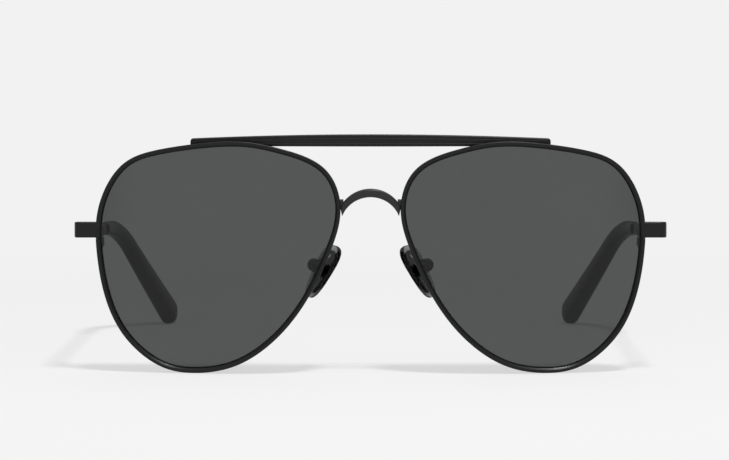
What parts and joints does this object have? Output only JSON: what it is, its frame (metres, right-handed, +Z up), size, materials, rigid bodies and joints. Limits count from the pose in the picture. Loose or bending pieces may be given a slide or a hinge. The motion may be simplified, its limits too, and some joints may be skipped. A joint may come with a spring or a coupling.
{
  "type": "aviator sunglasses",
  "caption": "Black wire-rimmed aviator sunglasses with teardrop grey lenses, a brow bar over an arched bridge, folding temples with plastic tips and rocking nose pads.",
  "frame": {"origin": "on the ground under the middle of the bounding box, with the pair standing open on its rims and temple tips", "axes": "+X to the wearer's left, +Y from the lenses back along the temples, +Z up"},
  "size_m": [0.1476, 0.1442, 0.059],
  "materials": {
    "black_metal": "satin black coating",
    "screw_steel": "blackened",
    "lens": "grey tint, polished",
    "tip_plastic": "black, softly polished",
    "pad_silicone": "smoky clear"
  },
  "bodies": {
    "front": {"bridge": "black_metal", "brow_bar": "black_metal", "rim_left": "black_metal", "rim_right": "black_metal", "lens_left": "lens", "lens_right": "lens", "endpiece_left": "black_metal", "endpiece_right": "black_metal", "closing_block_upper_left": "black_metal", "closing_block_upper_right": "black_metal", "closing_block_lower_left": "black_metal", "closing_block_lower_right": "black_metal", "rim_screw_left": "screw_steel", "rim_screw_right": "screw_steel", "pad_arm_left": "black_metal", "pad_arm_right": "black_metal", "pad_box_left": "black_metal", "pad_box_right": "black_metal", "pad_screw_left": "screw_steel", "pad_screw_right": "screw_steel", "front_hinge_leaf_left": "black_metal", "front_hinge_leaf_right": "black_metal", "hinge_screw_left": "screw_steel", "hinge_screw_right": "screw_steel"},
    "temple_left": {"temple_hinge_leaf_left": "black_metal", "temple_arm_left": "black_metal", "temple_tip_left": "tip_plastic"},
    "nose_pad_left": {"nose_pad_left": "pad_silicone", "pad_core_left": "black_metal"},
    "temple_right": {"temple_hinge_leaf_right": "black_metal", "temple_arm_right": "black_metal", "temple_tip_right": "tip_plastic"},
    "nose_pad_right": {"nose_pad_right": "pad_silicone", "pad_core_right": "black_metal"}
  },
  "joints": [
    {"name": "temple_left_fold", "type": "hinge", "parent": "front", "child": "temple_left", "pos_m": [0.0698, -0.05702, 0.03499], "axis": [0, 0.0594, 0.9982], "range_deg": [0, 83]},
    {"name": "temple_right_fold", "type": "hinge", "parent": "front", "child": "temple_right", "pos_m": [-0.0698, -0.05702, 0.03499], "axis": [0, -0.0594, -0.9982], "range_deg": [0, 71]},
    {"name": "nose_pad_left_rock", "type": "hinge", "parent": "front", "child": "nose_pad_left", "pos_m": [0.01357, -0.06146, 0.02646], "axis": [0.5, 0.8639, 0.0603], "range_deg": [-10, 10]},
    {"name": "nose_pad_right_rock", "type": "hinge", "parent": "front", "child": "nose_pad_right", "pos_m": [-0.01357, -0.06146, 0.02646], "axis": [-0.5, 0.8639, 0.0603], "range_deg": [-10, 10]}
  ]
}
